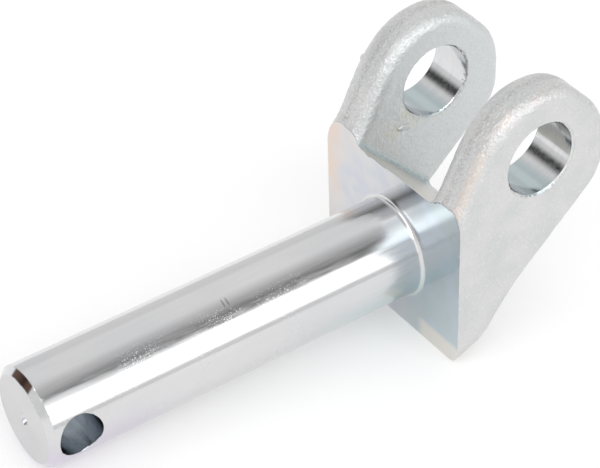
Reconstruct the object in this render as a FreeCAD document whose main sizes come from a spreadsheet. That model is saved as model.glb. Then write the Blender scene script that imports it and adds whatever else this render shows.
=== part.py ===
import FreeCAD, Part
import math
import os

import Sketcher

# A rod clevis: a forged fork with two rounded ears, turned on one side into a plain shank.
# The shank runs along -X, the ears rise along +Z and lean towards +X, and Y is the eye's axis.
# The sketches start where the shank's axis meets the turned shoulder. The finished part is
# placed with its origin on the eye's axis, midway between the ears.

NODE = "clevis_forging"
ORIGIN = -1
ORIGIN_POINT = 1
VERTICAL_AXIS = -2
HORIZONTAL_AXIS = -1
START = 1
END = 2
CENTRE = 3
TOUCH = 0.001
ROUGH_TOUCH = 0.01

# Which way each feature must change the volume: -1 takes metal off, 1 adds it.
VOLUME_CHANGES = (
    ("Gap", -1),
    ("RimRounding", -1),
    ("Shoulder", -1),
    ("Shank", 1),
    ("Eye", -1),
    ("CrossHole", -1),
    ("EyeMouths", -1),
    ("CrossHoleMouths", -1),
)

# Driving sizes in millimetres and degrees, with what each one measures.
SIZES = (
    ("shank_diameter", 25.0, "turned shank"),
    ("shank_length", 102.0, "from the shoulder to the shank's end"),
    ("end_chamfer", 1.6, "chamfer round the shank's end"),
    ("root_radius", 1.0, "radius where the shank meets the shoulder"),
    ("centre_diameter", 3.2, "mouth of the lathe centre's mark"),
    ("centre_depth", 2.4, "depth of the lathe centre's mark"),
    ("cross_hole_diameter", 11.0, "hole for the linch pin"),
    ("cross_hole_land", 0.2, "between the end's chamfer and that hole's broken edge"),
    ("cross_hole_chamfer", 0.4, "broken edge of that hole"),
    ("fork_width", 52.5, "over both ears"),
    ("ear_thickness", 13.0, "each ear"),
    ("rim_land", 1.0, "flat band between the two roundings of an ear's rim"),
    ("eye_diameter", 19.0, "bore through both ears"),
    ("eye_chamfer", 0.6, "broken edge of the eye"),
    ("eye_reach", 23.5, "from the shoulder back to the eye's axis"),
    ("eye_height", 30.7, "from the shank's axis up to the eye's axis"),
    ("head_radius", 18.95, "round head of an ear"),
    ("head_shift", 1.5, "head's centre behind the eye's axis"),
    ("head_drop", 1.05, "head's centre below the eye's axis"),
    ("brow_radius", 30.0, "gentler round between the front edge and the head"),
    ("brow_standoff", 0.8, "front edge outside the head's round"),
    ("crest_radius", 12.3, "tighter round between the head and the flat behind it"),
    ("flat_slope", 46.0, "slope of the flat at the head's upper back"),
    ("flat_depth", 1.4, "how deep that flat lies inside the head's round"),
    ("crown_radius", 17.0, "round between that flat and the nape"),
    ("nape_standoff", 0.2, "upright nape outside the head's round"),
    ("heel_radius", 12.0, "round heel between the nape and the back edge"),
    ("back_wall", 22.9, "from the eye's axis to the back edge"),
    ("front_lean", 27.0, "front edge's lean from upright"),
    ("back_slope", 42.0, "back edge's slope"),
    ("waist_radius", 60.0, "hollow between the back edge and the knee"),
    ("waist_turn", 14.5, "how much steeper the back gets through that hollow"),
    ("knee_radius", 14.0, "round knee at the bottom"),
    ("toe_slope", 22.0, "bottom edge's slope"),
    ("toe_drop", 20.6, "from the shank's axis down to the shoulder's lower edge"),
    ("stock_length", 12.0, "forged stock that the lathe takes off the shoulder"),
    ("flank_height", 24.3, "where the stock's upper side crosses the shoulder's plane"),
    ("flank_slope", 45.0, "slope of the stock's upper side"),
    ("flank_radius", 20.0, "hollow between that side and the front edge"),
    ("web_height", 22.1, "from the shank's axis up to the web's top edge"),
    ("floor_slope", 45.0, "slope of the slot's floor"),
)
VALUES = {name: value for name, value, meaning in SIZES}

# Sizes that follow from the driving ones, as the sheet's formulas state them.
RIM_RADIUS = "(Sizes.ear_thickness - Sizes.rim_land) / 2"
SLOT_WIDTH = "Sizes.fork_width - 2 * Sizes.ear_thickness"
STOCK_HEIGHT = "Sizes.flank_height - Sizes.stock_length * tan(Sizes.flank_slope)"
CROSS_HOLE_X = ("Sizes.end_chamfer + Sizes.cross_hole_land + Sizes.cross_hole_chamfer"
                " + Sizes.cross_hole_diameter / 2 - Sizes.shank_length")


def make_sheet(doc):
    sheet = doc.addObject("Spreadsheet::Sheet", "Sizes")
    for row, (name, value, meaning) in enumerate(SIZES, start=1):
        sheet.set("A%d" % row, name)
        sheet.set("B%d" % row, str(value))
        sheet.set("C%d" % row, meaning)
        sheet.setAlias("B%d" % row, name)
    doc.recompute()
    return sheet


def make_sketch(body, name, role):
    """Start a sketch on one of the body's own origin planes."""
    plane = next(item for item in body.Origin.OriginFeatures if item.Role == role)
    sketch = body.newObject("Sketcher::SketchObject", name)
    sketch.AttachmentSupport = [(plane, "")]
    sketch.MapMode = "FlatFace"
    return sketch


def point(x, y):
    return FreeCAD.Vector(x, y, 0)


def heading(degrees):
    """A step of one millimetre in a direction."""
    return point(math.cos(math.radians(degrees)), math.sin(math.radians(degrees)))


def arc(centre, radius, first_degrees, last_degrees):
    """An arc that runs anticlockwise between two directions."""
    circle = Part.Circle(centre, FreeCAD.Vector(0, 0, 1), radius)
    return Part.ArcOfCircle(circle, math.radians(first_degrees), math.radians(last_degrees))


def measure(sketch, kind, places, expression):
    """Add a dimension whose size follows the sheet."""
    value = sketch.evalExpression(expression)
    if kind == "Angle":
        value = math.radians(value)
    index = sketch.addConstraint(Sketcher.Constraint(kind, *places, value))
    sketch.setExpression("Constraints[%d]" % index, expression)


def relate(sketch, kind, *places):
    """Add a constraint that has no size."""
    sketch.addConstraint(Sketcher.Constraint(kind, *places))


def edges_where(feature, test):
    """Names of the edges whose every point passes a test."""
    shape = feature.Shape
    names = []
    for index, edge in enumerate(shape.Edges, start=1):
        first, last = edge.ParameterRange
        samples = [edge.valueAt(first + (last - first) * step / 4.0) for step in range(5)]
        if all(test(sample) for sample in samples):
            names.append("Edge%d" % index)
    return names


def near(a, b):
    return abs(a - b) < TOUCH


def draw_side_outline(sketch):
    """The fork seen from the side, clockwise from the stock in front of the shoulder."""
    size = VALUES
    eye = point(size["eye_reach"], size["eye_height"])
    head = point(eye.x + size["head_shift"], eye.y - size["head_drop"])
    head_radius = size["head_radius"]

    # Front edge and brow.
    front_way = heading(90 - size["front_lean"])
    front_normal = 180 - size["front_lean"]
    brow_gap = size["brow_radius"] - head_radius
    brow_turn = math.degrees(math.acos(1 - size["brow_standoff"] / brow_gap))
    brow = head - heading(front_normal - brow_turn) * brow_gap
    front_top = brow + heading(front_normal) * size["brow_radius"]
    front_foot = front_top - front_way * head_radius
    hollow = front_foot + heading(front_normal) * size["flank_radius"]
    stock_top = point(-size["stock_length"], sketch.evalExpression(STOCK_HEIGHT))

    # Crest, flat, crown and nape.
    flat_normal = 90 - size["flat_slope"]
    crest_gap = head_radius - size["crest_radius"]
    crest_turn = math.degrees(math.acos(1 - size["flat_depth"] / crest_gap))
    crest = head + heading(flat_normal + crest_turn) * crest_gap
    flat_top = crest + heading(flat_normal) * size["crest_radius"]
    nape_x = head.x + head_radius + size["nape_standoff"]
    crown_x = nape_x - size["crown_radius"]
    flat_reach = head_radius - size["flat_depth"] - size["crown_radius"]
    crown_rise = (flat_reach - (crown_x - head.x) * heading(flat_normal).x) / heading(flat_normal).y
    crown = point(crown_x, head.y + crown_rise)
    flat_foot = crown + heading(flat_normal) * size["crown_radius"]

    # Heel, back edge, waist, knee and toe.
    back_way = heading(size["back_slope"])
    back_normal = heading(size["back_slope"] - 90)
    heel_x = nape_x - size["heel_radius"]
    back_reach = size["back_wall"] - size["heel_radius"]
    heel = point(heel_x, eye.y + (back_reach - (heel_x - eye.x) * back_normal.x) / back_normal.y)
    back_top = heel + back_normal * size["heel_radius"]
    back_foot = back_top - back_way * head_radius
    waist = back_foot + back_normal * size["waist_radius"]
    waist_end = size["back_slope"] + size["waist_turn"]
    toe_rise = math.tan(math.radians(size["toe_slope"]))
    toe_end = point(head_radius / 4, head_radius / 4 * toe_rise - size["toe_drop"])
    knee = toe_end + heading(size["toe_slope"] + 90) * size["knee_radius"]
    stock_foot = point(-size["stock_length"], -size["toe_drop"] - size["stock_length"] * toe_rise)

    flank = sketch.addGeometry(Part.LineSegment(stock_top, front_foot))
    flank_arc = sketch.addGeometry(
        arc(hollow, size["flank_radius"], -size["flank_slope"], -size["front_lean"]))
    front = sketch.addGeometry(Part.LineSegment(front_foot, front_top))
    brow_arc = sketch.addGeometry(
        arc(brow, size["brow_radius"], front_normal - brow_turn, front_normal))
    head_arc = sketch.addGeometry(
        arc(head, head_radius, flat_normal + crest_turn, front_normal - brow_turn))
    crest_arc = sketch.addGeometry(
        arc(crest, size["crest_radius"], flat_normal, flat_normal + crest_turn))
    flat = sketch.addGeometry(Part.LineSegment(flat_top, flat_foot))
    crown_arc = sketch.addGeometry(arc(crown, size["crown_radius"], 0, flat_normal))
    nape = sketch.addGeometry(Part.LineSegment(point(nape_x, crown.y), point(nape_x, heel.y)))
    heel_arc = sketch.addGeometry(arc(heel, size["heel_radius"], size["back_slope"] - 90, 0))
    back = sketch.addGeometry(Part.LineSegment(back_top, back_foot))
    waist_arc = sketch.addGeometry(
        arc(waist, size["waist_radius"], size["back_slope"] + 90, waist_end + 90))
    knee_arc = sketch.addGeometry(
        arc(knee, size["knee_radius"], size["toe_slope"] - 90, waist_end - 90))
    toe_line = sketch.addGeometry(Part.LineSegment(toe_end, stock_foot))
    stock_front = sketch.addGeometry(Part.LineSegment(stock_foot, stock_top))
    eye_point = sketch.addGeometry(Part.Point(eye), True)
    shoulder_foot = sketch.addGeometry(Part.Point(point(0, -size["toe_drop"])), True)

    # Each piece with its first and last end on the way round.
    chain = [
        (flank, START, END),
        (flank_arc, START, END),
        (front, START, END),
        (brow_arc, END, START),
        (head_arc, END, START),
        (crest_arc, END, START),
        (flat, START, END),
        (crown_arc, END, START),
        (nape, START, END),
        (heel_arc, END, START),
        (back, START, END),
        (waist_arc, START, END),
        (knee_arc, END, START),
        (toe_line, START, END),
    ]
    for (before, first, end), (after, start, last) in zip(chain, chain[1:]):
        relate(sketch, "Tangent", before, end, after, start)
    relate(sketch, "Coincident", toe_line, END, stock_front, START)
    relate(sketch, "Coincident", stock_front, END, flank, START)
    relate(sketch, "Vertical", stock_front)
    relate(sketch, "Vertical", nape)
    relate(sketch, "PointOnObject", shoulder_foot, START, toe_line)
    relate(sketch, "PointOnObject", shoulder_foot, START, VERTICAL_AXIS)

    origin = (ORIGIN, ORIGIN_POINT)
    measure(sketch, "DistanceX", (stock_front, END) + origin, "Sizes.stock_length")
    measure(sketch, "DistanceY", origin + (stock_front, END), STOCK_HEIGHT)
    measure(sketch, "Angle", (flank,), "Sizes.flank_slope")
    measure(sketch, "Radius", (flank_arc,), "Sizes.flank_radius")
    measure(sketch, "Angle", (front,), "90 - Sizes.front_lean")
    measure(sketch, "DistanceX", origin + (eye_point, START), "Sizes.eye_reach")
    measure(sketch, "DistanceY", origin + (eye_point, START), "Sizes.eye_height")
    measure(sketch, "DistanceX", (eye_point, START, head_arc, CENTRE), "Sizes.head_shift")
    measure(sketch, "DistanceY", (head_arc, CENTRE, eye_point, START), "Sizes.head_drop")
    measure(sketch, "Radius", (head_arc,), "Sizes.head_radius")
    measure(sketch, "Radius", (brow_arc,), "Sizes.brow_radius")
    measure(sketch, "Distance", (head_arc, CENTRE, front), "Sizes.head_radius + Sizes.brow_standoff")
    measure(sketch, "Radius", (crest_arc,), "Sizes.crest_radius")
    measure(sketch, "Distance", (head_arc, CENTRE, flat), "Sizes.head_radius - Sizes.flat_depth")
    measure(sketch, "Angle", (flat,), "-Sizes.flat_slope")
    measure(sketch, "Radius", (crown_arc,), "Sizes.crown_radius")
    measure(sketch, "DistanceX", (head_arc, CENTRE, nape, START),
            "Sizes.head_radius + Sizes.nape_standoff")
    measure(sketch, "Radius", (heel_arc,), "Sizes.heel_radius")
    measure(sketch, "Angle", (back,), "Sizes.back_slope - 180")
    measure(sketch, "Distance", (eye_point, START, back), "Sizes.back_wall")
    measure(sketch, "Radius", (waist_arc,), "Sizes.waist_radius")
    measure(sketch, "Angle", (waist_arc,), "Sizes.waist_turn")
    measure(sketch, "Radius", (knee_arc,), "Sizes.knee_radius")
    measure(sketch, "Angle", (toe_line,), "Sizes.toe_slope - 180")
    measure(sketch, "DistanceY", (shoulder_foot, START) + origin, "Sizes.toe_drop")


def draw_slot(sketch):
    """All that lies above the slot's sloping floor, seen from the side."""
    size = VALUES
    front_x = -size["stock_length"]
    back_x = size["eye_reach"] + 2 * size["head_radius"]
    top = size["eye_height"] + 2 * size["head_radius"]
    fall = math.tan(math.radians(size["floor_slope"]))
    corners = [
        point(front_x, size["web_height"] - front_x * fall),
        point(back_x, size["web_height"] - back_x * fall),
        point(back_x, top),
        point(front_x, top),
    ]
    floor, back, roof, front = draw_polygon(sketch, corners)
    edge = sketch.addGeometry(Part.Point(point(0, size["web_height"])), True)
    relate(sketch, "Vertical", back)
    relate(sketch, "Horizontal", roof)
    relate(sketch, "Vertical", front)
    relate(sketch, "PointOnObject", edge, START, floor)
    relate(sketch, "PointOnObject", edge, START, VERTICAL_AXIS)
    origin = (ORIGIN, ORIGIN_POINT)
    measure(sketch, "DistanceY", origin + (edge, START), "Sizes.web_height")
    measure(sketch, "Angle", (floor,), "-Sizes.floor_slope")
    measure(sketch, "DistanceX", (floor, START) + origin, "Sizes.stock_length")
    measure(sketch, "DistanceX", origin + (floor, END), "Sizes.eye_reach + 2 * Sizes.head_radius")
    measure(sketch, "DistanceY", origin + (roof, END), "Sizes.eye_height + 2 * Sizes.head_radius")


def draw_gap(sketch):
    """A rectangle that covers the whole side outline, so that the gap leaves two plates."""
    front_x = -2 * VALUES["stock_length"]
    back_x = VALUES["eye_reach"] + 2 * VALUES["head_radius"]
    top = VALUES["eye_height"] + 2 * VALUES["head_radius"]
    bottom = -2 * VALUES["toe_drop"]
    corners = [point(front_x, bottom), point(back_x, bottom), point(back_x, top), point(front_x, top)]
    lower, back, upper, front = draw_polygon(sketch, corners)
    for level in (lower, upper):
        relate(sketch, "Horizontal", level)
    for upright in (back, front):
        relate(sketch, "Vertical", upright)
    origin = (ORIGIN, ORIGIN_POINT)
    measure(sketch, "DistanceX", (front, START) + origin, "2 * Sizes.stock_length")
    measure(sketch, "DistanceX", origin + (back, START), "Sizes.eye_reach + 2 * Sizes.head_radius")
    measure(sketch, "DistanceY", origin + (back, END), "Sizes.eye_height + 2 * Sizes.head_radius")
    measure(sketch, "DistanceY", (back, START) + origin, "2 * Sizes.toe_drop")


def draw_stock(sketch):
    """What the lathe takes off in front of the shoulder, above the shank's axis."""
    size = VALUES
    front_x = -2 * size["stock_length"]
    reach = size["fork_width"] + size["eye_height"]
    corners = [point(0, 0), point(0, reach), point(front_x, reach), point(front_x, 0)]
    shoulder, rim, front, axis = draw_polygon(sketch, corners)
    relate(sketch, "Coincident", shoulder, START, ORIGIN, ORIGIN_POINT)
    relate(sketch, "Vertical", shoulder)
    relate(sketch, "Horizontal", rim)
    relate(sketch, "Vertical", front)
    relate(sketch, "Horizontal", axis)
    measure(sketch, "DistanceY", (shoulder, START, shoulder, END), "Sizes.fork_width + Sizes.eye_height")
    measure(sketch, "DistanceX", (rim, END, rim, START), "2 * Sizes.stock_length")


def draw_shank(sketch):
    """Half of the turned shank: root radius, chamfered end and the lathe centre's mark."""
    size = VALUES
    radius = size["shank_diameter"] / 2
    root = size["root_radius"]
    end_x = -size["shank_length"]
    chamfer = size["end_chamfer"]
    root_arc = sketch.addGeometry(arc(point(-root, radius + root), root, -90, 0))
    outline = [
        point(-root, radius),
        point(end_x + chamfer, radius),
        point(end_x, radius - chamfer),
        point(end_x, size["centre_diameter"] / 2),
        point(end_x + size["centre_depth"], 0),
        point(0, 0),
        point(0, radius + root),
    ]
    lines = []
    for first, last in zip(outline, outline[1:]):
        lines.append(sketch.addGeometry(Part.LineSegment(first, last)))
    side, bevel, end_face, cone, axis, shoulder = lines
    for first, last in zip(lines, lines[1:]):
        relate(sketch, "Coincident", first, END, last, START)
    relate(sketch, "Tangent", side, START, root_arc, START)
    relate(sketch, "Tangent", shoulder, END, root_arc, END)
    relate(sketch, "Coincident", shoulder, START, ORIGIN, ORIGIN_POINT)
    relate(sketch, "Horizontal", side)
    relate(sketch, "Vertical", end_face)
    relate(sketch, "Horizontal", axis)
    relate(sketch, "Vertical", shoulder)
    origin = (ORIGIN, ORIGIN_POINT)
    measure(sketch, "Radius", (root_arc,), "Sizes.root_radius")
    measure(sketch, "DistanceY", origin + (side, START), "Sizes.shank_diameter / 2")
    measure(sketch, "DistanceX", (end_face, START) + origin, "Sizes.shank_length")
    measure(sketch, "DistanceX", (bevel, END, bevel, START), "Sizes.end_chamfer")
    measure(sketch, "DistanceY", (bevel, END, bevel, START), "Sizes.end_chamfer")
    measure(sketch, "DistanceY", (cone, END, cone, START), "Sizes.centre_diameter / 2")
    measure(sketch, "DistanceX", (cone, START, cone, END), "Sizes.centre_depth")


def draw_polygon(sketch, corners):
    """A closed outline of straight lines through a list of corners."""
    lines = []
    for first, last in zip(corners, corners[1:] + corners[:1]):
        lines.append(sketch.addGeometry(Part.LineSegment(first, last)))
    for first, last in zip(lines, lines[1:] + lines[:1]):
        relate(sketch, "Coincident", first, END, last, START)
    return lines


def draw_circle(sketch, x_expression, y_expression, diameter_expression):
    """One round hole, placed from the origin."""
    x = sketch.evalExpression(x_expression)
    y = sketch.evalExpression(y_expression)
    radius = sketch.evalExpression(diameter_expression) / 2
    circle = sketch.addGeometry(Part.Circle(point(x, y), FreeCAD.Vector(0, 0, 1), radius))
    measure(sketch, "DistanceX", (ORIGIN, ORIGIN_POINT, circle, CENTRE), x_expression)
    if y_expression == "0":
        relate(sketch, "PointOnObject", circle, CENTRE, HORIZONTAL_AXIS)
    else:
        measure(sketch, "DistanceY", (ORIGIN, ORIGIN_POINT, circle, CENTRE), y_expression)
    measure(sketch, "Diameter", (circle,), diameter_expression)


def extrude(body, kind, name, sketch, width_expression=None):
    """A pad or a pocket that grows evenly to both sides of its sketch, or right through."""
    feature = body.newObject("PartDesign::" + kind, name)
    feature.Profile = sketch
    feature.SideType = "Symmetric"
    if width_expression is None:
        feature.Type = "ThroughAll"
    else:
        feature.Type = "Length"
        feature.setExpression("Length", width_expression)
    return feature


def revolve(body, kind, name, sketch):
    """A full turn about the shank's axis."""
    feature = body.newObject("PartDesign::" + kind, name)
    feature.Profile = sketch
    feature.ReferenceAxis = (sketch, ["H_Axis"])
    feature.Angle = 360
    return feature


def dress(body, kind, name, base, edge_names, size_property, expression):
    """Round or bevel some edges of the feature before."""
    feature = body.newObject("PartDesign::" + kind, name)
    feature.Base = (base, edge_names)
    feature.setExpression(size_property, expression)
    return feature


def add_rims(body, plates):
    """Round the rims of both ears on both faces, all the way round but for the stock's front."""
    half_fork = VALUES["fork_width"] / 2
    half_slot = half_fork - VALUES["ear_thickness"]

    def is_rim(spot):
        on_face = near(abs(spot.y), half_fork) or near(abs(spot.y), half_slot)
        return on_face and spot.x > TOUCH - VALUES["stock_length"]

    return dress(body, "Fillet", "RimRounding", plates, edges_where(plates, is_rim),
                 "Radius", RIM_RADIUS)


def break_hole_edges(body, base):
    """Chamfer the mouths of the eye, then those of the cross hole."""
    half_fork = VALUES["fork_width"] / 2
    half_slot = half_fork - VALUES["ear_thickness"]
    eye_radius = VALUES["eye_diameter"] / 2
    shank_radius = VALUES["shank_diameter"] / 2
    cross_radius = VALUES["cross_hole_diameter"] / 2
    cross_x = base.evalExpression(CROSS_HOLE_X)

    def is_eye_mouth(spot):
        on_face = near(abs(spot.y), half_fork) or near(abs(spot.y), half_slot)
        across = math.hypot(spot.x - VALUES["eye_reach"], spot.z - VALUES["eye_height"])
        return on_face and near(across, eye_radius)

    def is_cross_mouth(spot):
        on_shank = abs(math.hypot(spot.y, spot.z) - shank_radius) < ROUGH_TOUCH
        return on_shank and near(math.hypot(spot.x - cross_x, spot.z), cross_radius)

    edges = edges_where(base, is_eye_mouth)
    eye_mouths = dress(body, "Chamfer", "EyeMouths", base, edges, "Size", "Sizes.eye_chamfer")
    body.Document.recompute()
    edges = edges_where(eye_mouths, is_cross_mouth)
    return dress(body, "Chamfer", "CrossHoleMouths", eye_mouths, edges,
                 "Size", "Sizes.cross_hole_chamfer")


def build_web(doc):
    """The web: a block of the side outline between the ears' middles, up to the slot's floor."""
    web = doc.addObject("PartDesign::Body", "Web")
    side = make_sketch(web, "WebOutline", "XZ_Plane")
    draw_side_outline(side)
    extrude(web, "Pad", "WebBlank", side, "Sizes.fork_width - Sizes.ear_thickness")
    slot_shape = make_sketch(web, "FloorOutline", "XZ_Plane")
    draw_slot(slot_shape)
    extrude(web, "Pocket", "Floor", slot_shape)
    doc.recompute()
    return web


def build_clevis(doc):
    body = doc.addObject("PartDesign::Body", "Clevis")
    body.Label = NODE

    # The forging: two ears with rounded rims on a web.
    side = make_sketch(body, "SideOutline", "XZ_Plane")
    draw_side_outline(side)
    extrude(body, "Pad", "Blank", side, "Sizes.fork_width")
    gap_shape = make_sketch(body, "GapOutline", "XZ_Plane")
    draw_gap(gap_shape)
    gap = extrude(body, "Pocket", "Gap", gap_shape, SLOT_WIDTH)
    doc.recompute()
    add_rims(body, gap)
    doc.recompute()
    web = build_web(doc)
    join = body.newObject("PartDesign::Boolean", "JoinWeb")
    join.Type = "Fuse"
    join.setObjects([web])
    doc.recompute()

    # Turning: the flat shoulder, which cuts through the rims' rounding, and the shank.
    stock_shape = make_sketch(body, "StockOutline", "XZ_Plane")
    draw_stock(stock_shape)
    revolve(body, "Groove", "Shoulder", stock_shape)
    doc.recompute()
    shank_shape = make_sketch(body, "ShankOutline", "XZ_Plane")
    draw_shank(shank_shape)
    revolve(body, "Revolution", "Shank", shank_shape)
    doc.recompute()

    # Drilling: the eye through both ears and the cross hole through the shank's end.
    eye_shape = make_sketch(body, "EyeOutline", "XZ_Plane")
    draw_circle(eye_shape, "Sizes.eye_reach", "Sizes.eye_height", "Sizes.eye_diameter")
    extrude(body, "Pocket", "Eye", eye_shape)
    doc.recompute()
    cross_shape = make_sketch(body, "CrossHoleOutline", "XZ_Plane")
    draw_circle(cross_shape, CROSS_HOLE_X, "0", "Sizes.cross_hole_diameter")
    cross_hole = extrude(body, "Pocket", "CrossHole", cross_shape)
    doc.recompute()
    break_hole_edges(body, cross_hole)
    body.setExpression("Placement.Base.x", "-Sizes.eye_reach")
    body.setExpression("Placement.Base.z", "-Sizes.eye_height")
    doc.recompute()
    return body


def check(doc, body):
    """Stop before anything is written if a feature failed, took nothing off or added nothing."""
    for item in doc.Objects:
        if "Invalid" in item.State or "Error" in item.State:
            raise RuntimeError("%s failed: %s" % (item.Name, item.State))
    if body.Shape.isNull() or not body.Shape.isValid() or len(body.Shape.Solids) != 1:
        raise RuntimeError("%s is not one valid solid" % body.Label)
    for name, changes_by in VOLUME_CHANGES:
        feature = doc.getObject(name)
        change = feature.Shape.Volume - feature.BaseFeature.Shape.Volume
        if change * changes_by <= 0:
            raise RuntimeError("%s changed the volume by %.1f" % (name, change))


doc = FreeCAD.newDocument("clevis")
make_sheet(doc)
body = build_clevis(doc)
check(doc, body)
os.makedirs("parts", exist_ok=True)
body.Shape.exportStep("parts/%s.step" % body.Label)
print("%s: volume %.1f, %d faces" % (body.Label, body.Shape.Volume, len(body.Shape.Faces)))
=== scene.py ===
import math

import bpy
import numpy as np
from mathutils import Matrix, Vector


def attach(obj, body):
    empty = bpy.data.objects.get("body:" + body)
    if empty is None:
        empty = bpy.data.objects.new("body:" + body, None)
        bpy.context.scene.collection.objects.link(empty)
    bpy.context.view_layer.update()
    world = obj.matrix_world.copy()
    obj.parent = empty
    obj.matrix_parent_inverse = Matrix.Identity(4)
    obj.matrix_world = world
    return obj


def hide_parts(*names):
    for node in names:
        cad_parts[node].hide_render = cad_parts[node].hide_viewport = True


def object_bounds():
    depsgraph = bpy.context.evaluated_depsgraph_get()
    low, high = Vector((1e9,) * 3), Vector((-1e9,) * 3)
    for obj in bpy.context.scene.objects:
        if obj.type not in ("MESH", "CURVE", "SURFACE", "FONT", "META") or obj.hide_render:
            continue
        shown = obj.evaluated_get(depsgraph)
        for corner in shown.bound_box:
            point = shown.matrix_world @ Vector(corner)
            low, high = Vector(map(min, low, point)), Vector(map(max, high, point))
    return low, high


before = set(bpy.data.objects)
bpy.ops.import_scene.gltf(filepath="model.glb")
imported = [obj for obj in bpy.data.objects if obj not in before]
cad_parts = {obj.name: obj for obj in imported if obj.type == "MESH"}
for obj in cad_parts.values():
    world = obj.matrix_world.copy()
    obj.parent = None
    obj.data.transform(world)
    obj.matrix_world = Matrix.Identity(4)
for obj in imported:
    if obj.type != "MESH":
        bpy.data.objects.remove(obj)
cad_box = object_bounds()

# Sizes in millimetres and degrees. The shapes are laid out from the point where the
# shank's axis meets the turned shoulder, and moved to the eye's centre at the end.
EYE = np.array([23.5, 30.7])
EYE_RADIUS = 9.5
EYE_CHAMFER = 0.6
EAR_MIDDLE = 19.75
EAR_HALF = 6.5
LAND_HALF = 0.5
RIM = 6.0
EDGE_LAND_HALF = 3.0
EDGE = 3.5
WEB_HEIGHT = 22.1
FLOOR_FILLET = 1.2
SHANK_RADIUS = 12.5
SHANK_LENGTH = 102.0
END_CHAMFER = 1.6
ROOT_RADIUS = 1.0
CENTRE_RADIUS = 1.6
CENTRE_DEPTH = 2.4
CROSS_X = -94.3
CROSS_RADIUS = 5.5
CROSS_CHAMFER = 0.25
STOCK_LENGTH = 12.0
FLANK_HEIGHT = 24.3
TOE_DROP = 20.6
SHANK_OVERLAP = 3.0
MM = 0.001
DIAGONAL = math.sqrt(0.5)
# Turns the lathe mark's slanted measure into about a true distance.
CONE_SCALE = 0.83


def along(degrees):
    return np.array([math.cos(math.radians(degrees)), math.sin(math.radians(degrees))])


def side_outline():
    """The fork's side outline as lines and arcs, clockwise; an arc is hollow when turn is -1."""
    head = EYE + np.array([1.5, -1.05])
    head_radius = 18.95
    front_slope = 63.0
    front_normal = front_slope + 90
    brow_radius = 30.0
    brow_standoff = 0.8
    brow_turn = math.degrees(math.acos(1 - brow_standoff / (brow_radius - head_radius)))
    brow = head - along(front_normal - brow_turn) * (brow_radius - head_radius)
    front_top = brow + along(front_normal) * brow_radius
    # The front edge meets the flank's hollow, which is tangent to the flank's own line.
    flank_slope = 45.0
    front_way = along(front_slope)
    flank_way = along(flank_slope)
    flank_point = np.array([0.0, FLANK_HEIGHT])
    hollow_radius = 20.0
    half_turn = math.radians((front_slope - flank_slope) / 2)
    meeting = np.linalg.solve(np.array([front_way, -flank_way]).T, flank_point - front_top)
    corner = front_top + front_way * meeting[0]
    reach = hollow_radius * math.tan(half_turn)
    front_foot = corner + front_way * reach
    flank_top = corner - flank_way * reach
    hollow = front_foot + along(front_normal) * hollow_radius
    stock_top = np.array([-STOCK_LENGTH, FLANK_HEIGHT - STOCK_LENGTH])

    flat_normal = 44.0
    crest_radius = 12.3
    flat_depth = 1.4
    crest_turn = math.degrees(math.acos(1 - flat_depth / (head_radius - crest_radius)))
    crest = head + along(flat_normal + crest_turn) * (head_radius - crest_radius)
    flat_top = crest + along(flat_normal) * crest_radius
    nape_standoff = 0.2
    nape_x = head[0] + head_radius + nape_standoff
    crown_radius = 17.0
    crown_x = nape_x - crown_radius
    flat_reach = head_radius - flat_depth - crown_radius
    normal = along(flat_normal)
    crown_z = head[1] + (flat_reach - (crown_x - head[0]) * normal[0]) / normal[1]
    crown = np.array([crown_x, crown_z])
    flat_foot = crown + normal * crown_radius

    back_slope = 42.0
    back_wall = 22.9
    back_way = along(back_slope)
    back_normal = along(back_slope - 90)
    heel_radius = 12.0
    heel_x = nape_x - heel_radius
    back_reach = back_wall - heel_radius
    heel_z = EYE[1] + (back_reach - (heel_x - EYE[0]) * back_normal[0]) / back_normal[1]
    heel = np.array([heel_x, heel_z])
    back_top = heel + back_normal * heel_radius

    # The waist's hollow runs from the back edge into the knee, which ends in the toe's line.
    knee_radius = 14.0
    waist_radius = 60.0
    toe_slope = 22.0
    toe_way = along(toe_slope)
    waist_end = 56.5
    toe_normal = along(toe_slope + 90)
    # Knee's centre = toe's foot + toe_way * s + toe_normal * knee_radius; the waist's centre lies
    # waist_radius outside the back edge, and both centres are the two radii apart on one line.
    apart = along(waist_end - 90) * (waist_radius + knee_radius)
    base = (np.array([0.0, -TOE_DROP]) + toe_normal * knee_radius + apart - back_top
            - back_normal * waist_radius)
    steps = np.linalg.solve(np.array([-back_way, -toe_way]).T, base)
    back_foot = back_top - back_way * steps[0]
    waist = back_foot + back_normal * waist_radius
    knee = waist - apart
    toe_end = knee - toe_normal * knee_radius
    stock_drop = STOCK_LENGTH * math.tan(math.radians(toe_slope))
    stock_foot = np.array([-STOCK_LENGTH, -TOE_DROP - stock_drop])
    return [
        ("line", stock_top, flank_top),
        ("arc", hollow, hollow_radius, flank_slope - 90, front_slope - 90, -1),
        ("line", front_foot, front_top),
        ("arc", brow, brow_radius, front_normal - brow_turn, front_normal, 1),
        ("arc", head, head_radius, flat_normal + crest_turn, front_normal - brow_turn, 1),
        ("arc", crest, crest_radius, flat_normal, flat_normal + crest_turn, 1),
        ("line", flat_top, flat_foot),
        ("arc", crown, crown_radius, 0.0, flat_normal, 1),
        ("line", np.array([nape_x, crown[1]]), np.array([nape_x, heel[1]])),
        ("arc", heel, heel_radius, back_slope - 90, 0.0, 1),
        ("line", back_top, back_foot),
        ("arc", waist, waist_radius, back_slope + 90, waist_end + 90, -1),
        ("arc", knee, knee_radius, toe_slope - 90, waist_end - 90, 1),
        ("line", toe_end, stock_foot),
        ("line", stock_foot, stock_top),
    ]


OUTLINE = side_outline()


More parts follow.
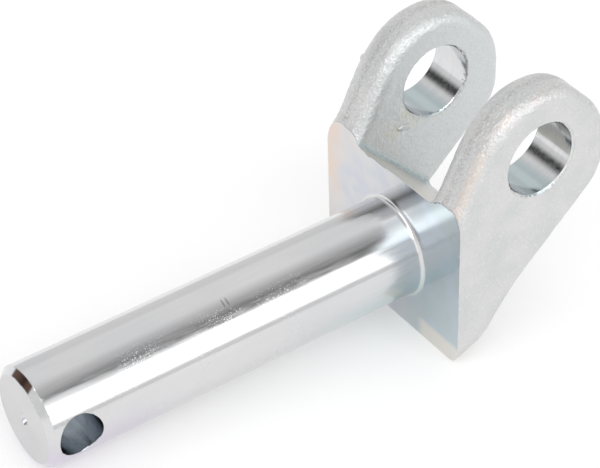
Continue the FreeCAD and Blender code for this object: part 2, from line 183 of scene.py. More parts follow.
def outline_distance(x, z):
    """Signed distance from the side outline, negative in the metal."""
    shape = np.broadcast(x, z).shape
    nearest = np.full(shape, 1e9)
    side = np.zeros(shape)
    for piece in OUTLINE:
        if piece[0] == "line":
            start, end = piece[1], piece[2]
            length = math.hypot(*(end - start))
            way = (end - start) / length
            run = (x - start[0]) * way[0] + (z - start[1]) * way[1]
            off = way[0] * (z - start[1]) - way[1] * (x - start[0])
            over = np.maximum(np.maximum(-run, run - length), 0)
            distance = np.hypot(off, over)
        else:
            centre, radius, first, last, turn = piece[1:]
            middle = along((first + last) / 2)
            reach = math.cos(math.radians((last - first) / 2))
            dx = x - centre[0]
            dz = z - centre[1]
            rho = np.hypot(dx, dz)
            off = (rho - radius) * turn
            within = dx * middle[0] + dz * middle[1] >= rho * reach
            ends = [centre + along(first) * radius, centre + along(last) * radius]
            to_ends = np.minimum(np.hypot(x - ends[0][0], z - ends[0][1]),
                                 np.hypot(x - ends[1][0], z - ends[1][1]))
            distance = np.where(within, np.abs(off), to_ends)
        closer = distance < nearest
        nearest = np.where(closer, distance, nearest)
        side = np.where(closer, off, side)
    return np.where(side > 0, nearest, -nearest)


LATTICE_SIZE = 32
LATTICE = np.random.RandomState(7).rand(LATTICE_SIZE, LATTICE_SIZE, LATTICE_SIZE)


def noise(x, y, z, size, shift=0.0):
    """Smooth noise from 0 to 1 whose grains are about size millimetres wide."""
    places = [x / size + shift, y / size + shift * 1.7, z / size + shift * 2.3]
    low = [np.floor(p).astype(int) for p in places]
    part = [p - l for p, l in zip(places, low)]
    part = [p * p * (3 - 2 * p) for p in part]
    total = 0.0
    for i in (0, 1):
        wx = part[0] if i else 1 - part[0]
        for j in (0, 1):
            wy = part[1] if j else 1 - part[1]
            for k in (0, 1):
                wz = part[2] if k else 1 - part[2]
                knot = tuple((base + step) % LATTICE_SIZE for base, step in zip(low, (i, j, k)))
                total = total + LATTICE[knot] * wx * wy * wz
    return total


def ease(value, low, high):
    """From 0 at low to 1 at high, level at both ends."""
    part = np.clip((value - low) / (high - low), 0, 1)
    return part * part * (3 - 2 * part)


def round_join(a, b, radius):
    """Two shapes joined with a fillet of that radius in their corner."""
    reach = np.hypot(np.maximum(radius - a, 0), np.maximum(radius - b, 0))
    return np.maximum(radius, np.minimum(a, b)) - reach


def ellipsoid(x, y, z, centre, radii):
    """About the distance from a small egg-shaped lump."""
    scaled = np.sqrt(((x - centre[0]) / radii[0]) ** 2 + ((y - centre[1]) / radii[1]) ** 2
                     + ((z - centre[2]) / radii[2]) ** 2)
    return (scaled - 1) * min(radii)


# Leftovers of the flash that stand proud of the rims, and pits in them: centre and half sizes.
LUMPS = (
    ((43.2, 19.8, 22.6), (0.95, 1.0, 1.9)),
    ((9.6, 24.0, 37.5), (0.8, 0.8, 1.1)),
    ((13.7, 13.3, 21.4), (1.7, 0.5, 0.7)),
)
PITS = (
    ((29.3, -23.6, 48.0), (0.9, 0.45, 0.45)),
    ((31.2, -23.4, 47.5), (0.7, 0.4, 0.4)),
    ((33.0, -23.8, 46.7), (0.6, 0.4, 0.4)),
    ((14.3, 13.1, 20.0), (1.6, 0.45, 0.6)),
)
# The forged skin stands below the nominal surface: its least depth, then each grain's height,
# width and shift.
SKIN_DEPTH = 0.02
SKIN_GRAINS = ((0.08, 8.0, 0.0), (0.06, 3.1, 1.3), (0.09, 1.3, 4.1))


def land_mask(x, y, z, outline):
    """One on the trimmed flash along the middle of an ear's rim."""
    wander = (noise(x, y, z, 5.0, 3.1) - 0.5) * 0.5
    across = np.abs(np.abs(y) - EAR_MIDDLE + wander)
    return (1 - ease(across, 0.3, 1.5)) * (1 - ease(np.abs(outline), 0.7, 1.2))


def forging(x, y, z):
    """The fork as forged, before it is turned and drilled."""
    outline = outline_distance(x, z)
    depth = np.abs(y)
    # Each rim is round towards +Y and flatter towards -Y, where a tighter edge takes the light.
    off_middle = y - np.where(y < 0, -EAR_MIDDLE, EAR_MIDDLE)
    radius = np.where(off_middle < 0, EDGE, RIM)
    from_rim = outline + radius
    from_land = np.abs(off_middle) - np.where(off_middle < 0, EDGE_LAND_HALF, LAND_HALF)
    ear = (np.minimum(np.maximum(from_rim, from_land), 0)
           + np.hypot(np.maximum(from_rim, 0), np.maximum(from_land, 0)) - radius)
    # The slot's floor dips near the left ear and wanders a little.
    dip = 0.55 * np.exp(-((y - 9.5) / 2.4) ** 2) + 0.15 * (noise(x, y, z, 7.0, 5.0) - 0.5)
    floor = (x + z - WEB_HEIGHT + dip * (1 - ease(x, 0, 5))) * DIAGONAL
    web = np.maximum(np.maximum(round_join(ear, floor, FLOOR_FILLET), outline), depth - EAR_MIDDLE)
    fork = np.minimum(ear, web)
    skin = SKIN_DEPTH
    for height, size, shift in SKIN_GRAINS:
        skin = skin + height * noise(x, y, z, size, shift)
    flash = land_mask(x, y, z, outline)
    skin = skin * (1 - flash) + flash * 0.16 * noise(x, y, z, 0.9, 2.2)
    fork = fork + skin
    for centre, radii in LUMPS:
        fork = np.minimum(fork, ellipsoid(x, y, z, centre, radii))
    for centre, radii in PITS:
        fork = np.maximum(fork, -ellipsoid(x, y, z, centre, radii))
    return fork


def part(x, y, z):
    """The whole part, negative in the metal."""
    depth = np.abs(y)
    fork = np.maximum(forging(x, y, z), -x)
    from_axis = np.hypot(y, z)
    shank = np.maximum(from_axis - SHANK_RADIUS, x - SHANK_OVERLAP)
    body = np.maximum(round_join(shank, fork, ROOT_RADIUS), -SHANK_LENGTH - x)
    bevel = (from_axis - x - SHANK_RADIUS - SHANK_LENGTH + END_CHAMFER) * DIAGONAL
    body = np.maximum(body, np.where(x < -SHANK_LENGTH / 2, bevel, -1e3))
    cone = CENTRE_RADIUS - (x + SHANK_LENGTH) * CENTRE_RADIUS / CENTRE_DEPTH - from_axis
    body = np.maximum(body, cone * CONE_SCALE)
    eye = EYE_RADIUS - np.hypot(x - EYE[0], z - EYE[1])
    # Held down between the ears, where the eye's chamfer would otherwise cut the slot's floor.
    face = np.minimum(np.abs(depth - EAR_MIDDLE) - EAR_HALF, 0.5)
    body = np.maximum(body, eye)
    body = np.maximum(body, (eye + face + EYE_CHAMFER) * DIAGONAL)
    cross = CROSS_RADIUS - np.hypot(x - CROSS_X, z)
    body = np.maximum(body, cross)
    chips = CROSS_CHAMFER * ease(-z, 0.5, 3.5) * ease(noise(x, y, z, 1.1, 6.0), 0.3, 0.75)
    return np.maximum(body, (cross + from_axis - SHANK_RADIUS + chips) * DIAGONAL)


def slope(places, step=0.01):
    """The surface's outward direction at each place."""
    result = np.empty_like(places)
    for axis in range(3):
        shift = np.zeros(3)
        shift[axis] = step
        ahead = places + shift
        behind = places - shift
        result[:, axis] = part(*ahead.T) - part(*behind.T)
    return result / np.maximum(np.linalg.norm(result, axis=1, keepdims=True), 1e-9)


ROOT_STEPS = 4
ROOT_MARGIN = 0.02
WEAK_DIRECTION = 0.02


def contour(lines):
    """Corners and four-sided faces of the surface where part() is zero, kept sharp at its edges."""
    grid = part(lines[0][:, None, None], lines[1][None, :, None], lines[2][None, None, :])
    inside = grid < 0
    cells_across = [len(line) for line in lines]
    crossing_places = []
    crossing_cells = []
    crossing_flip = []
    for axis in range(3):
        near = [slice(None)] * 3
        far = [slice(None)] * 3
        near[axis] = slice(None, -1)
        far[axis] = slice(1, None)
        index = np.argwhere(inside[tuple(near)] != inside[tuple(far)])
        ahead = index.copy()
        ahead[:, axis] += 1
        start = np.stack([lines[k][index[:, k]] for k in range(3)], axis=1)
        end = np.stack([lines[k][ahead[:, k]] for k in range(3)], axis=1)
        value_start = grid[tuple(index.T)]
        value_end = grid[tuple(ahead.T)]
        flip = value_start > 0
        for step in range(ROOT_STEPS):
            share = value_start / (value_start - value_end)
            if step % 2:
                share = np.full_like(share, 0.5)
            share = np.clip(share, ROOT_MARGIN, 1 - ROOT_MARGIN)[:, None]
            middle = start + (end - start) * share
            value = part(*middle.T)
            same = (value > 0) == (value_start > 0)
            start = np.where(same[:, None], middle, start)
            value_start = np.where(same, value, value_start)
            end = np.where(same[:, None], end, middle)
            value_end = np.where(same, value_end, value)
        share = (value_start / (value_start - value_end))[:, None]
        crossing_places.append(start + (end - start) * share)
        crossing_flip.append(flip)
        one, two = (axis + 1) % 3, (axis + 2) % 3
        around = []
        for back_one, back_two in ((1, 1), (0, 1), (0, 0), (1, 0)):
            cell = index.copy()
            cell[:, one] -= back_one
            cell[:, two] -= back_two
            row = cell[:, 0] * cells_across[1] + cell[:, 1]
            around.append(row * cells_across[2] + cell[:, 2])
        crossing_cells.append(np.stack(around, axis=1))
    places = np.concatenate(crossing_places)
    cells = np.concatenate(crossing_cells)
    flip = np.concatenate(crossing_flip)
    normals = slope(places)

    keys, corner = np.unique(cells, return_inverse=True)
    corner = corner.reshape(cells.shape)
    count = np.bincount(corner.ravel(), minlength=len(keys)).astype(float)

    def gather(values):
        return np.bincount(corner.ravel(), weights=np.repeat(values, 4), minlength=len(keys))

    middle = np.stack([gather(places[:, k]) / count for k in range(3)], axis=1)
    matrix = np.empty((len(keys), 3, 3))
    for a in range(3):
        for b in range(a, 3):
            matrix[:, a, b] = matrix[:, b, a] = gather(normals[:, a] * normals[:, b])
    level = (normals * places).sum(axis=1)
    right = np.stack([gather(normals[:, k] * level) for k in range(3)], axis=1)
    right -= np.einsum("nab,nb->na", matrix, middle)
    values, vectors = np.linalg.eigh(matrix)
    keep = values > WEAK_DIRECTION * values[:, 2:3]
    inverse = np.where(keep, 1 / np.where(keep, values, 1), 0)
    step = np.einsum("nab,nb,ncb,nc->na", vectors, inverse, vectors, right)
    cell_index = np.stack(np.unravel_index(keys, cells_across), axis=1)
    low, high = (np.stack([lines[k][np.clip(cell_index[:, k] + end, end, len(lines[k]) - 2 + end)]
                           for k in range(3)], axis=1) for end in (0, 1))
    corners = np.clip(middle + step, low, high)
    quads = np.where(flip[:, None], corner[:, ::-1], corner)
    return corners, quads


def grid_lines(stops):
    """Grid lines through the stops, each (place, spacing up to the next stop)."""
    lines = []
    for (start, spacing), (end, after) in zip(stops, stops[1:]):
        steps = max(int(round((end - start) / spacing)), 1)
        lines.append(np.linspace(start, end, steps, endpoint=False))
    lines.append(np.array([stops[-1][0]]))
    return np.concatenate(lines)


# The shank between its ends is straight, so its cells are long there.
FINE = 0.47
LINES = (
    grid_lines([(-102.37, FINE), (-86.0, 3.0), (-2.5, FINE), (44.6, FINE)]),
    grid_lines([(-26.6, FINE), (-12.73, FINE), (12.73, FINE), (26.6, FINE)]),
    grid_lines([(-21.1, FINE), (49.2, FINE)]),
)
corners, quads = contour(LINES)
SHIFT = np.array([-EYE[0], 0.0, -EYE[1]])
corners = np.clip(corners, np.array(cad_box[0]) / MM - SHIFT, np.array(cad_box[1]) / MM - SHIFT)

# Directions at each face's corners: smooth over rounds, split along sharp edges.
face_middle = corners[quads].mean(axis=1)
corner_places = corners[quads] * 0.7 + face_middle[:, None, :] * 0.3
corner_normals = slope(corner_places.reshape(-1, 3)).reshape(-1, 4, 3)
shared = np.stack([np.bincount(quads.ravel(), weights=corner_normals[..., k].ravel(),
                               minlength=len(corners)) for k in range(3)], axis=1)
shared /= np.maximum(np.linalg.norm(shared, axis=1, keepdims=True), 1e-9)
SMOOTH_COSINE = 0.94
smooth = (corner_normals * shared[quads]).sum(axis=2) > SMOOTH_COSINE
corner_normals = np.where(smooth[..., None], shared[quads], corner_normals)

# What the finishes need to know of each corner: trimmed flash, how far it is round the rim,
# and how deep it lies in the slot's corner, where painted shade goes.
corner_outline = outline_distance(corners[:, 0], corners[:, 2])
masks = np.ones((len(corners), 4))
masks[:, 0] = land_mask(*corners.T, corner_outline)
masks[:, 1] = np.hypot(shared[:, 0], shared[:, 2]) * (corners[:, 0] > 0.05)
floor_gap = (corners[:, 0] + corners[:, 2] - WEB_HEIGHT) * DIAGONAL
depth = np.abs(corners[:, 1])
wall_gap = EAR_MIDDLE - EAR_HALF - depth
masks[:, 2] = (1 - ease(np.hypot(floor_gap, wall_gap), 0.4, 1.6)) * (depth < EAR_MIDDLE)
masks[:, 2] *= 1 - 0.7 * ease(wall_gap, 0.3, 0.8)

mesh = bpy.data.meshes.new("clevis_surface")
mesh.from_pydata(((corners + SHIFT) * MM).tolist(), [], quads.tolist())
mesh.polygons.foreach_set("use_smooth", np.ones(len(quads), dtype=bool))
mesh.normals_split_custom_set(corner_normals.reshape(-1, 3).tolist())
mask_layer = mesh.color_attributes.new("masks", "FLOAT_COLOR", "POINT")
mask_layer.data.foreach_set("color", masks.ravel())
clevis = bpy.data.objects.new("clevis", mesh)
bpy.context.scene.collection.objects.link(clevis)

# Which finish each face has.
x, y, z = face_middle.T
from_axis = np.hypot(y, z)
from_eye = np.hypot(x - EYE[0], z - EYE[1])
from_cross = np.hypot(x - CROSS_X, z)
turned = x < 0.02
in_cross = turned & (from_cross < CROSS_RADIUS + 0.1) & (from_axis < SHANK_RADIUS - 0.1)
drilled = (from_eye < EYE_RADIUS + EYE_CHAMFER / 2) | in_cross
shoulder = turned & (x > -0.1) & (from_axis > SHANK_RADIUS + ROOT_RADIUS * 0.9)
end_face = x < -SHANK_LENGTH + 0.05
FORGED, SHANK, FACED, DRILLED = 0, 1, 2, 3
finish_index = np.select([drilled, shoulder | end_face, turned], [DRILLED, FACED, SHANK], FORGED)


def add_math(tree, operation, *values):
    """A sum of links and numbers."""
    node = tree.nodes.new("ShaderNodeMath")
    node.operation = operation
    for slot, value in zip(node.inputs, values):
        if isinstance(value, (int, float)):
            slot.default_value = value
        else:
            tree.links.new(value, slot)
    return node.outputs[0]


def add_range(tree, value, low, high, to_low=0.0, to_high=1.0, kind="SMOOTHSTEP"):
    """Values from low to high, laid onto another range."""
    node = tree.nodes.new("ShaderNodeMapRange")
    node.interpolation_type = kind
    for name, number in (("From Min", low), ("From Max", high), ("To Min", to_low), ("To Max", to_high)):
        node.inputs[name].default_value = number
    tree.links.new(value, node.inputs["Value"])
    return node.outputs[0]


class Finish:
    """A metal's node tree, with short ways to add to it. Sizes are in millimetres."""

    def __init__(self, name, color, roughness):
        self.material = bpy.data.materials.new(name)
        self.material.use_nodes = True
        self.tree = self.material.node_tree
        self.nodes = self.tree.nodes
        self.links = self.tree.links
        self.nodes.clear()
        output = self.nodes.new("ShaderNodeOutputMaterial")
        self.shader = self.nodes.new("ShaderNodeBsdfPrincipled")
        self.shader.inputs["Metallic"].default_value = 1.0
        self.shader.inputs["Base Color"].default_value = (*color, 1)
        self.shader.inputs["Roughness"].default_value = roughness
        self.links.new(self.shader.outputs[0], output.inputs[0])
        place = self.nodes.new("ShaderNodeTexCoord")
        self.place = place.outputs["Object"]

    def stretched(self, stretch):
        """The object's coordinates, multiplied along each axis."""
        mapping = self.nodes.new("ShaderNodeMapping")
        mapping.inputs["Scale"].default_value = stretch
        self.links.new(self.place, mapping.inputs["Vector"])
        return mapping.outputs[0]

    def noise(self, size, detail=2.0, place=None):
        node = self.nodes.new("ShaderNodeTexNoise")
        node.inputs["Scale"].default_value = 1.0 / (size * MM)
        node.inputs["Detail"].default_value = detail
        self.links.new(place or self.place, node.inputs["Vector"])
        return node.outputs[0]

    def spread(self, value, low, high, to_low=0.0, to_high=1.0):
        """Values from low to high, eased onto another range."""
        return add_range(self.tree, value, low, high, to_low, to_high)

    def math(self, operation, *values):
        return add_math(self.tree, operation, *values)

    def times(self, first, *others):
        """The product of links and numbers, from the left."""
        for other in others:
            first = self.math("MULTIPLY", first, other)
        return first

    def length(self, one, two):
        """How long the way is that goes one along and two across."""
        return self.math("SQRT", self.math("ADD", self.times(one, one), self.times(two, two)))

    def mix(self, share, first, second):
        """One colour laid over another; a colour is a link or three numbers."""
        node = self.nodes.new("ShaderNodeMix")
        node.data_type = "RGBA"
        self.links.new(share, node.inputs["Factor"])
        for slot, color in ((node.inputs[6], first), (node.inputs[7], second)):
            if isinstance(color, tuple):
                slot.default_value = (*color, 1)
            else:
                self.links.new(color, slot)
        return node.outputs[2]

    def masks(self):
        """The corner masks: trimmed flash, rim, and slot corner for the painted shade there."""
        layer = self.nodes.new("ShaderNodeVertexColor")
        layer.layer_name = "masks"
        parts = self.nodes.new("ShaderNodeSeparateColor")
        self.links.new(layer.outputs["Color"], parts.inputs[0])
        return parts.outputs[0], parts.outputs[1], parts.outputs[2]

    def coordinates(self):
        parts = self.nodes.new("ShaderNodeSeparateXYZ")
        self.links.new(self.stretched((1000, 1000, 1000)), parts.inputs[0])
        return parts.outputs[0], parts.outputs[1], parts.outputs[2]

    def bump(self, height, depth, below=None):
        """Raise the surface by up to depth millimetres where height is one."""
        node = self.nodes.new("ShaderNodeBump")
        node.inputs["Strength"].default_value = 1.0
        node.inputs["Distance"].default_value = depth * MM
        self.links.new(height, node.inputs["Height"])
        if below:
            self.links.new(below, node.inputs["Normal"])
        return node.outputs[0]

    def brush(self, amount, direction):
        """Draw reflections out along a direction: three numbers, or a link in the object's own axes."""
        node = self.nodes.new("ShaderNodeVectorTransform")
        node.vector_type = "VECTOR"
        node.convert_from = "OBJECT"
        node.convert_to = "WORLD"
        if isinstance(direction, tuple):
            node.inputs[0].default_value = direction
        else:
            self.links.new(direction, node.inputs[0])
        self.shader.inputs["Anisotropic"].default_value = amount
        self.links.new(node.outputs[0], self.shader.inputs["Tangent"])

    def use(self, color=None, roughness=None, normal=None):
        for name, value in (("Base Color", color), ("Roughness", roughness), ("Normal", normal)):
            if value:
                self.links.new(value, self.shader.inputs[name])
        return self.material


def make_forged():
    """Zinc over the forged skin: grainy, warm on the rounds, with painted shade, dark bluish, in the slot's
    corners.
    """
    finish = Finish("forged_zinc", (0.72, 0.72, 0.72), 0.5)
    finish.shader.inputs["Metallic"].default_value = 0.72
    flash, rim, hollow = finish.masks()
    along_x, along_y, along_z = finish.coordinates()
    fine = finish.noise(0.33, 2.0)
    grain = finish.noise(0.7, 3.0)
    coarse = finish.noise(1.9, 3.0)
    cloud = finish.noise(9.0, 3.0)
    tint = finish.noise(8.0, 2.0)
    color = finish.mix(finish.spread(cloud, 0.35, 0.65), (0.64, 0.65, 0.65), (0.695, 0.69, 0.69))
    inner = finish.times(finish.spread(along_y, 5.0, 12.0), finish.spread(along_y, 16.5, 14.0))
    color = finish.mix(finish.times(inner, 0.8), color, (0.66, 0.69, 0.69))
    # Yellowish stains on the inner face beside the eye.
    for stain_x, stain_z, reach in ((-13.4, -9.4, 3.6), (-8.8, -5.6, 3.0), (-6.5, -9.0, 2.2)):
        off_x = finish.math("SUBTRACT", along_x, stain_x)
        off_z = finish.math("SUBTRACT", along_z, stain_z)
        gap = finish.length(off_x, off_z)
        share = finish.times(finish.spread(gap, reach, reach * 0.3, 0.0, 0.6), inner)
        share = finish.times(share, finish.spread(coarse, 0.35, 0.6))
        color = finish.mix(share, color, (0.66, 0.64, 0.52))
    # A peach line runs down the front of the right ear, just past the light.
    warm = finish.times(finish.spread(along_y, -21.8, -23.4), finish.spread(along_y, -25.6, -24.6),
                        finish.spread(tint, 0.36, 0.62, 0.0, 0.55), finish.spread(along_x, 6.0, -4.0))
    color = finish.mix(warm, color, (0.80, 0.69, 0.62))
    # The lip of the slot's floor is yellowish.
    off_floor = finish.math("ABSOLUTE", finish.math("ADD", finish.math("ADD", along_x, along_z), 32.1))
    lip = finish.times(finish.spread(off_floor, 1.6, 0.7), finish.spread(grain, 0.3, 0.7, 0.3, 1.0),
                       finish.spread(finish.math("ABSOLUTE", along_y), 13.2, 12.8),
                       finish.spread(along_x, -6.0, -14.0))
    color = finish.mix(lip, color, (0.76, 0.73, 0.66))
    # Painted shade: a dark bluish teal deep in the slot's corners, where the floor meets the ears.
    painted_slot_shade = finish.times(hollow, finish.spread(coarse, 0.3, 0.7, 0.6, 0.95))
    color = finish.mix(painted_slot_shade, color, (0.36, 0.45, 0.47))
    dark = finish.times(flash, finish.spread(grain, 0.42, 0.62, 0.0, 0.75))
    color = finish.mix(dark, color, (0.40, 0.39, 0.38))
    pepper = finish.spread(rim, 0.4, 0.8, 0.25, 0.6)
    dark_grains = finish.times(pepper, finish.spread(fine, 0.58, 0.72))
    color = finish.mix(dark_grains, color, (0.42, 0.42, 0.42))
    bright_grains = finish.times(pepper, finish.spread(grain, 0.56, 0.7))
    color = finish.mix(bright_grains, color, (0.90, 0.90, 0.89))
    roughness = finish.spread(fine, 0.3, 0.7, 0.30, 0.52)
    rough_skin = finish.spread(rim, 0.1, 0.6, 0.45, 1.0)
    normal = finish.bump(finish.times(coarse, rough_skin), 0.24)
    normal = finish.bump(finish.times(grain, rough_skin), 0.24, normal)
    normal = finish.bump(fine, 0.07, normal)
    return finish.use(color, roughness, normal)


def make_shank():
    """Fine-turned and plated: rings too fine to see one by one, with a little handling wear."""
    finish = Finish("turned_zinc", (0.70, 0.70, 0.71), 0.2)
    finish.brush(0.8, (1.0, 0.0, 0.0))
    rings = finish.noise(1.0, 2.0, finish.stretched((3.0, 0.12, 0.12)))
    cloud = finish.noise(16.0, 3.0, finish.stretched((0.5, 1.0, 1.0)))
    specks = finish.noise(0.38, 3.0)
    patches = finish.noise(11.0, 2.0)
    streaks = finish.noise(1.0, 3.0, finish.stretched((0.12, 1.6, 1.6)))
    along_x, along_y, along_z = finish.coordinates()
    color = finish.mix(finish.spread(cloud, 0.35, 0.65), (0.675, 0.68, 0.69), (0.72, 0.71, 0.715))
    # Painted reflections on the shank's underside: teal near the fork, lavender towards the end.
    fork_end_reflection = finish.spread(along_x, -62.0, -28.0, 0.0, 0.8)
    low = finish.spread(along_z, -27.0, -37.0)
    color = finish.mix(finish.times(fork_end_reflection, low), color, (0.60, 0.70, 0.71))
    far_end_reflection = finish.spread(along_x, -86.0, -120.0, 0.0, 0.8)
    color = finish.mix(finish.times(far_end_reflection, low), color, (0.67, 0.62, 0.73))
    # A brown mark lies on the end's bevel, at the top.
    mark = finish.times(finish.spread(along_x, -123.8, -124.1), finish.spread(along_x, -125.45, -125.3),
                        finish.spread(along_z, -23.0, -20.5),
                        finish.spread(along_y, -4.3, -3.4), finish.spread(along_y, 4.0, 3.0))
    color = finish.mix(mark, color, (0.12, 0.075, 0.06))
    # Handling has left specks along the side that faces the viewer, and two short nicks.
    worn = finish.times(finish.spread(specks, 0.58, 0.7), finish.spread(patches, 0.42, 0.62),
                        finish.spread(along_x, -44.0, -56.0), finish.spread(along_y, -3.5, -6.5))
    nick_x = finish.math("ABSOLUTE", finish.math("ADD", along_x, 74.6))
    nick_y = finish.math("ABSOLUTE", finish.math("ADD", along_y, 5.0))
    nick_x = finish.math("ABSOLUTE", finish.math("SUBTRACT", nick_x, 0.55))
    nick = finish.times(finish.spread(nick_x, 0.3, 0.1), finish.spread(nick_y, 1.2, 0.5, 0.0, 0.6))
    color = finish.mix(nick, color, (0.22, 0.22, 0.22))
    roughness = finish.spread(streaks, 0.3, 0.7, 0.13, 0.21)
    roughness = finish.math("ADD", roughness, finish.times(worn, 0.22))
    normal = finish.bump(rings, 0.0010)
    normal = finish.bump(streaks, 0.0022, normal)
    normal = finish.bump(worn, 0.006, normal)
    return finish.use(color, roughness, normal)


def make_faced():
    """The turned shoulder and the shank's end face: faint rings, plating stains near the edges, and a
    painted dark reflection on the shoulder's right half.
    """
    finish = Finish("faced_zinc", (0.66, 0.67, 0.69), 0.15)
    along_x, along_y, along_z = finish.coordinates()
    from_shank = finish.math("ADD", along_z, float(EYE[1]))
    radius = finish.length(along_y, from_shank)
    ring_place = finish.nodes.new("ShaderNodeCombineXYZ")
    finish.links.new(finish.times(radius, 0.003), ring_place.inputs[0])
    rings = finish.noise(1.0, 2.0, ring_place.outputs[0])
    stain = finish.noise(10.0, 3.0)
    patch = finish.noise(7.0, 2.0)
    fork_side = finish.spread(along_x, -60.0, -50.0)
    color = finish.mix(finish.spread(stain, 0.4, 0.6), (0.60, 0.60, 0.61), (0.63, 0.625, 0.63))
    color = finish.mix(fork_side, color, (0.69, 0.69, 0.70))
    # Painted reflection: a dark teal over the shoulder's right half.
    right = finish.times(fork_side, finish.spread(along_y, 2.0, -14.0, 0.0, 0.85))
    color = finish.mix(right, color, (0.46, 0.54, 0.56))
    blue = finish.times(fork_side, finish.spread(patch, 0.3, 0.75, 0.0, 0.6))
    color = finish.mix(blue, color, (0.55, 0.60, 0.70))
    top_left = finish.math("ADD", from_shank, along_y)
    top = finish.times(finish.spread(top_left, 30.0, 36.0), fork_side)
    color = finish.mix(finish.times(top, 0.45), color, (0.76, 0.70, 0.66))
    left = finish.times(finish.spread(along_y, 18.5, 24.5), finish.spread(stain, 0.3, 0.6, 0.3, 1.0))
    color = finish.mix(left, color, (0.77, 0.65, 0.57))
    low = finish.times(finish.spread(along_z, -45.0, -47.0),
                       finish.spread(along_y, -9.5, -13.0, 0.0, 0.8), fork_side)
    color = finish.mix(low, color, (0.77, 0.73, 0.67))
    roughness = finish.spread(rings, 0.3, 0.7, 0.12, 0.19)
    normal = finish.bump(rings, 0.0004)
    return finish.use(color, roughness, normal)


def make_drilled():
    """The drilled bores: tool marks that run round the hole, a little darker than outside, with painted
    shade in the cross hole and low in the eye's bore.
    """
    finish = Finish("drilled_zinc", (0.62, 0.63, 0.65), 0.16)
    along_x, _, along_z = finish.coordinates()
    rings = finish.noise(1.0, 3.0, finish.stretched((0.14, 3.2, 0.14)))
    grain = finish.noise(0.8, 2.0)
    color = finish.mix(finish.spread(rings, 0.4, 0.6), (0.67, 0.68, 0.69), (0.73, 0.725, 0.73))
    # Painted shade: the cross hole's bore is darker and bluer.
    color = finish.mix(finish.spread(along_x, -90.0, -110.0, 0.0, 0.75), color, (0.43, 0.47, 0.51))
    # Painted shade: a dark teal band low in the eye's bore.
    foot = finish.times(finish.spread(along_z, -8.0, -9.2, 0.0, 0.7), finish.spread(along_z, -15.0, -12.0))
    color = finish.mix(foot, color, (0.42, 0.52, 0.55))
    roughness = finish.spread(grain, 0.3, 0.7, 0.11, 0.19)
    normal = finish.bump(rings, 0.009)
    return finish.use(color, roughness, normal)


for material in (make_forged(), make_shank(), make_faced(), make_drilled()):
    mesh.materials.append(material)
mesh.polygons.foreach_set("material_index", finish_index.astype(np.int32))
mesh.update()

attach(clevis, "root")
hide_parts("clevis_forging")


# Floor: a pale plane under the shoulder's lower edge and the shank's end.
shoulder_foot = Vector((0.0, 0.0, -TOE_DROP))
shank_foot = Vector((END_CHAMFER - SHANK_LENGTH, 0.0, -SHANK_RADIUS))
run = (shoulder_foot - shank_foot).normalized()
across = Vector((0.0, 1.0, 0.0))
foot = (shoulder_foot + Vector(SHIFT)) * MM
floor_mesh = bpy.data.meshes.new("floor")
FLOOR_REACH = 6.0
floor_corners = [foot + run * (a * FLOOR_REACH) + across * (b * FLOOR_REACH)
                 for a, b in ((-1, -1), (1, -1), (1, 1), (-1, 1))]
floor_mesh.from_pydata(floor_corners, [], [(0, 1, 2, 3)])
floor = bpy.data.objects.new("floor", floor_mesh)
bpy.context.scene.collection.objects.link(floor)
material = bpy.data.materials.new("pale_floor")
material.use_nodes = True
tree = material.node_tree
nodes = tree.nodes
links = tree.links
nodes.clear()
output = nodes.new("ShaderNodeOutputMaterial")
paint = nodes.new("ShaderNodeBsdfDiffuse")
paint.inputs["Color"].default_value = (0.72, 0.72, 0.72, 1)
# The glow lifts the floor to white where it is seen, straight or in the metal, and casts no light.
FLOOR_GLOW = 0.3
glow = nodes.new("ShaderNodeEmission")
glow.inputs["Color"].default_value = (1, 1, 1, 1)
path = nodes.new("ShaderNodeLightPath")
looked_at = add_math(tree, "MAXIMUM", path.outputs["Is Camera Ray"], path.outputs["Is Glossy Ray"])
looked_at = add_math(tree, "MAXIMUM", looked_at, path.outputs["Is Transmission Ray"])
links.new(add_math(tree, "MULTIPLY", looked_at, FLOOR_GLOW), glow.inputs["Strength"])
both = nodes.new("ShaderNodeAddShader")
links.new(paint.outputs[0], both.inputs[0])
links.new(glow.outputs[0], both.inputs[1])
links.new(both.outputs[0], output.inputs[0])
floor_mesh.materials.append(material)

# Light: an evenly white room with brighter boxes and two dark gaps, which the metal shows as
# bands. Headings and heights are in degrees.
world = bpy.data.worlds.new("studio")
bpy.context.scene.world = world
world.use_nodes = True
sky = world.node_tree
sky.nodes.clear()
output = sky.nodes.new("ShaderNodeOutputWorld")
light = sky.nodes.new("ShaderNodeBackground")
sky.links.new(light.outputs[0], output.inputs[0])
place = sky.nodes.new("ShaderNodeTexCoord")
apart = sky.nodes.new("ShaderNodeSeparateXYZ")
sky.links.new(place.outputs["Generated"], apart.inputs[0])
DEGREES = 180 / math.pi
ROOM_LEVEL = 1.0


def window(value, low, high, soft):
    """One between low and high, fading over soft at each end."""
    rise = add_range(sky, value, low - soft, low + soft)
    fall = add_range(sky, value, high - soft, high + soft, 1.0, 0.0)
    return add_math(sky, "MULTIPLY", rise, fall)


def box(headings, heights, strength):
    """A patch of the room; each of the first two is (low, high, soft)."""
    patch = add_math(sky, "MULTIPLY", window(heading_of, *headings), window(height_of, *heights))
    return add_math(sky, "MULTIPLY", patch, strength)


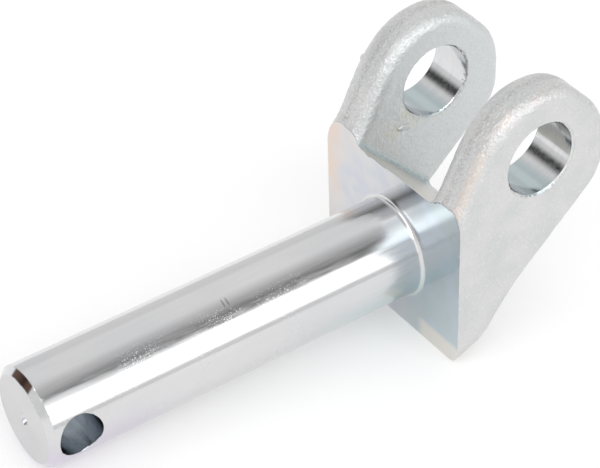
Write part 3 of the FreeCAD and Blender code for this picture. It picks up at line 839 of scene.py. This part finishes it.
toward_viewer = add_math(sky, "MULTIPLY", apart.outputs[1], -1.0)
heading_of = add_math(sky, "MULTIPLY", add_math(sky, "ARCTAN2", apart.outputs[0], toward_viewer), DEGREES)
height_of = add_math(sky, "MULTIPLY", add_math(sky, "ARCSINE", apart.outputs[2]), DEGREES)
wide_box = box((-112, 28, 5), (37, 60, 5), 2.1)
low_box = box((8, 46, 2), (8, 41, 1.5), 1.4)
faint_box = box((-44, 8, 4), (6, 34, 4), 0.5)
side_gap = box((-150, -124, 6), (18, 40, 8), 0.93)
# The other gap runs across the shank, so it shows as the dark band along it.
across_angle = add_math(sky, "MULTIPLY", add_math(sky, "ARCTAN2", apart.outputs[2], toward_viewer), DEGREES)
gap_fade = add_range(sky, across_angle, 62, 105, 0.8, -0.15, "LINEAR")
gap_shape = add_math(sky, "MULTIPLY", window(across_angle, 47, 150, 3),
                     window(apart.outputs[0], 0.24, 0.58, 0.06))
gap = add_math(sky, "MULTIPLY", gap_fade, gap_shape)
bright = add_math(sky, "MAXIMUM", wide_box, low_box)
bright = add_math(sky, "MAXIMUM", bright, faint_box)
dark = add_math(sky, "ADD", gap, side_gap)
level = add_math(sky, "SUBTRACT", add_math(sky, "ADD", bright, ROOM_LEVEL), dark)
sky.links.new(level, light.inputs["Strength"])

# Camera: the photograph's.
camera_data = bpy.data.cameras.new("camera")
SENSOR = 36.0
FOCAL_PIXELS = 2188.93
PHOTO_WIDTH = 600.0
camera_data.lens = SENSOR * FOCAL_PIXELS / PHOTO_WIDTH
camera_data.sensor_width = SENSOR
camera_data.clip_start = 0.01
camera = bpy.data.objects.new("camera", camera_data)
right = Vector((0.81839371, -0.57401438, -0.02718872))
upward = Vector((0.37758532, 0.50146619, 0.77843496))
back = Vector((-0.43319863, -0.64733234, 0.62713618))
spot = Vector((-0.27014, -0.32885, 0.30415))
camera.matrix_world = Matrix((
    (right.x, upward.x, back.x, spot.x),
    (right.y, upward.y, back.y, spot.y),
    (right.z, upward.z, back.z, spot.z),
    (0, 0, 0, 1),
))
bpy.context.scene.collection.objects.link(camera)
bpy.context.scene.camera = camera
bpy.context.scene.view_settings.view_transform = "Standard"
